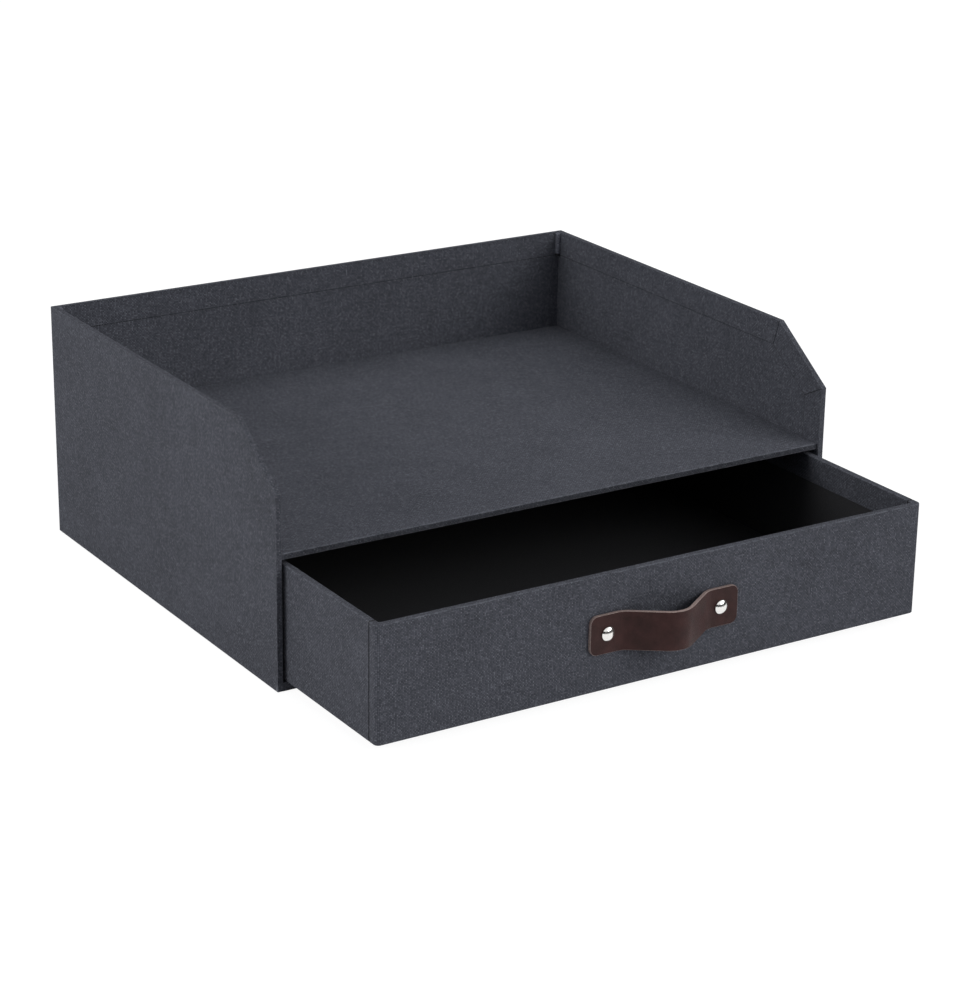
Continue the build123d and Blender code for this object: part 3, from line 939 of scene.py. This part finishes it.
def turned(bm, profile, axisX, axisZ, steps):
    # Spin a profile of (radius, Y) about an axis along Y.
    centre = Vector((axisX, 0, axisZ))
    verts = [bm.verts.new(centre + Vector((r, y, 0))) for r, y in profile]
    edges = [bm.edges.new(pair) for pair in zip(verts, verts[1:])]
    bmesh.ops.spin(bm, geom=verts + edges, cent=centre, axis=back, angle=math.tau, steps=steps,
                   use_merge=True)


def buildRivets(name, node, shape, profileOf):
    # Both rivets of the handle, turned in place.
    low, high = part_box(node)
    radius = (high.z - low.z) / 2
    bm = bmesh.new()
    for side in (low.x + radius, high.x - radius):
        turned(bm, profileOf(low, high, shape), side, (low.z + high.z) / 2, shape["steps"])
    bmesh.ops.remove_doubles(bm, verts=bm.verts[:], dist=weld)
    bmesh.ops.recalc_face_normals(bm, faces=bm.faces[:])
    piece = newObject(name, bm, [nickelPlate])
    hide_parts(node)
    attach(piece, "drawer")
    smoothBy(piece, flatFaces=False)


def capProfile(low, high, shape):
    # Dome, rolled lip, flat underside and post.
    seat = low.y + shape["dome"]
    rise = shape["dome"] - shape["lip"]
    ball = (shape["headRadius"] ** 2 + rise ** 2) / (2 * rise)
    reach = math.asin(shape["headRadius"] / ball)
    turns = [reach * i / shape["rings"] for i in range(shape["rings"] + 1)]
    dome = [(ball * math.sin(t), low.y + ball * (1 - math.cos(t))) for t in turns]
    radius, post, bevelled = shape["headRadius"], shape["post"], shape["bevelled"]
    return dome + [(radius, seat - bevelled), (radius - bevelled, seat), (post, seat),
                   (post, high.y - bevelled), (post - bevelled, high.y), (0, high.y)]


def backProfile(low, high, shape):
    # Flat round back, its rim rolled, with the post's end sunk in it.
    radius, gauge, post, bevelled = (shape[key] for key in ("backRadius", "backGauge", "post", "bevelled"))
    middle = (low.y + high.y) / 2
    return [(0, high.y - gauge * 0.25), (post * 0.8, high.y - gauge * 0.22), (post, high.y - bevelled),
            (post * 1.25, high.y), (radius * 0.75, high.y), (radius * 0.93, high.y - gauge * 0.12),
            (radius, high.y - gauge * 0.45), (radius, low.y), (post + bevelled, low.y),
            (post + bevelled, middle), (0, middle)]


buildRivets("rivetCaps", "handle_rivet_caps", rivet, capProfile)
buildRivets("rivetBacks", "handle_rivet_backs", rivet, backProfile)
print("rivets made")


finishes = {
    boardGrey: ["left_side_board", "right_side_board", "back_board", "base_board", "shelf_board",
                "drawer_front_board", "drawer_back_board", "drawer_left_board", "drawer_right_board",
                "drawer_floor_board"],
    # the wall linings take the lighter copy of the cloth, painted light for light bounced inside the tray
    clothInsidePaintedLight: ["left_wall_lining", "right_wall_lining", "back_wall_lining"],
    clothOutside: ["base_cover", "drawer_base_cover"],
    blackPaper: ["bay_floor_lining", "shelf_underside_lining", "drawer_wall_lining", "drawer_floor_lining"],
}
for material, names in finishes.items():
    for name in names:
        nodes[name].data.materials.clear()
        nodes[name].data.materials.append(material)
print("carried-over pieces finished")


studio = {
    "floorSize": 12.0,
    "floorLevel": -0.0002,
    "floorColour": (0.93, 0.93, 0.93),
    "floorRoughness": 0.9,
    "cameraGlow": 0.78,      # share of plain white in what the camera sees of the floor
    "glowStrength": 1.19,    # makes up for the lamps' lower light on the floor
    "worldLight": 0.19,
    "worldTint": (0.92, 0.965, 1.09),
    "lampsFace": (0, -0.03, 0.05),
    "lamps": {
        "leftLamp": {"place": (-2.5, 0.35, 0.9), "size": 1.3, "power": 30},
        "frontLamp": {"place": (0.9, -2.6, 1.3), "size": 1.6, "power": 22.5},
        "frontRightLamp": {"place": (1.9, -1.8, 1.4), "size": 1.8, "power": 22.5},
        "overLamp": {"place": (0.1, 0.2, 2.8), "size": 2.4, "power": 18},
    },
    "flag": {"radius": 1.9, "height": 0.85, "colour": (0.01, 0.01, 0.01)},
}


def seenDirectly(tree):
    # 1 for rays from the camera, from a reflection or through a clear piece, and 0 for diffuse light.
    path = tree.nodes.new("ShaderNodeLightPath")
    looks = maths(tree, "MAXIMUM", path.outputs["Is Camera Ray"], path.outputs["Is Glossy Ray"])
    return maths(tree, "MAXIMUM", looks, path.outputs["Is Transmission Ray"])


def buildFloor(setup):
    bm = bmesh.new()
    bmesh.ops.create_grid(bm, x_segments=1, y_segments=1, size=setup["floorSize"] / 2)
    material, tree, shader = startMaterial("floorPaper")
    shader.inputs["Base Color"].default_value = (*setup["floorColour"], 1)
    shader.inputs["Roughness"].default_value = setup["floorRoughness"]
    output = tree.nodes["Material Output"]
    glow = tree.nodes.new("ShaderNodeEmission")
    glow.inputs["Color"].default_value = (1, 1, 1, 1)
    glow.inputs["Strength"].default_value = setup["glowStrength"]
    mix = tree.nodes.new("ShaderNodeMixShader")
    connect(tree, (maths(tree, "MULTIPLY", seenDirectly(tree), setup["cameraGlow"]), mix.inputs[0]),
            (shader.outputs[0], mix.inputs[1]),
            (glow.outputs[0], mix.inputs[2]),
            (mix.outputs[0], output.inputs[0]))
    floor = newObject("floorSweep", bm, [material])
    floor.location.z = setup["floorLevel"]


def buildWorld(setup):
    world = bpy.data.worlds.new("studioWorld")
    bpy.context.scene.world = world
    world.use_nodes = True
    tree = world.node_tree
    tree.nodes.clear()
    output = tree.nodes.new("ShaderNodeOutputWorld")
    background = tree.nodes.new("ShaderNodeBackground")
    seen = seenDirectly(tree)
    tint = twoTone(tree, seen, 0.0, 1.0, setup["worldTint"], (1, 1, 1))
    strength = stretch(tree, seen, 0.0, 1.0, setup["worldLight"], 1.0)
    connect(tree, (tint, background.inputs["Color"]),
            (strength, background.inputs["Strength"]),
            (background.outputs[0], output.inputs[0]))


def buildFlag(flag):
    # A dark band low round the studio, seen in reflections alone, so the rivets have something to mirror.
    bm = bmesh.new()
    bmesh.ops.create_circle(bm, cap_ends=False, radius=flag["radius"], segments=64)
    shift(bm, bmesh.ops.extrude_edge_only(bm, edges=bm.edges[:])["geom"], up * flag["height"])
    material, tree, shader = startMaterial("flagCloth")
    shader.inputs["Base Color"].default_value = (*flag["colour"], 1)
    shader.inputs["Roughness"].default_value = 1.0
    band = newObject("studioFlag", bm, [material])
    band.visible_camera = band.visible_diffuse = band.visible_shadow = False


def addLamp(name, lamp, target):
    light = bpy.data.lights.new(name, "AREA")
    light.shape = "DISK"
    light.size = lamp["size"]
    light.energy = lamp["power"]
    holder = bpy.data.objects.new(name, light)
    holder.location = lamp["place"]
    holder.rotation_euler = (Vector(target) - Vector(lamp["place"])).to_track_quat("-Z", "Y").to_euler()
    bpy.context.scene.collection.objects.link(holder)


photoCamera = {
    "place": (-0.73915, -1.21420, 0.55065),
    "yaw": 32.549, "pitch": 19.9994, "roll": 0.8687,
    "focalPixels": 2822.93, "frameHeight": 981, "sensor": 36.0,
}


def addCamera(shot):
    data = bpy.data.cameras.new("photoCamera")
    data.sensor_width = shot["sensor"]
    data.lens = shot["focalPixels"] / shot["frameHeight"] * shot["sensor"]
    data.clip_start = 0.05
    camera = bpy.data.objects.new("photoCamera", data)
    turn = (Matrix.Rotation(-math.radians(shot["yaw"]), 4, "Z")
            @ Matrix.Rotation(math.radians(90 - shot["pitch"]), 4, "X")
            @ Matrix.Rotation(math.radians(shot["roll"]), 4, "Z"))
    camera.matrix_world = Matrix.Translation(shot["place"]) @ turn
    bpy.context.scene.collection.objects.link(camera)
    bpy.context.scene.camera = camera


buildFloor(studio)
buildWorld(studio)
buildFlag(studio["flag"])
for name, lamp in studio["lamps"].items():
    addLamp(name, lamp, studio["lampsFace"])
addCamera(photoCamera)
bpy.context.scene.view_settings.view_transform = "Standard"
print("studio ready")
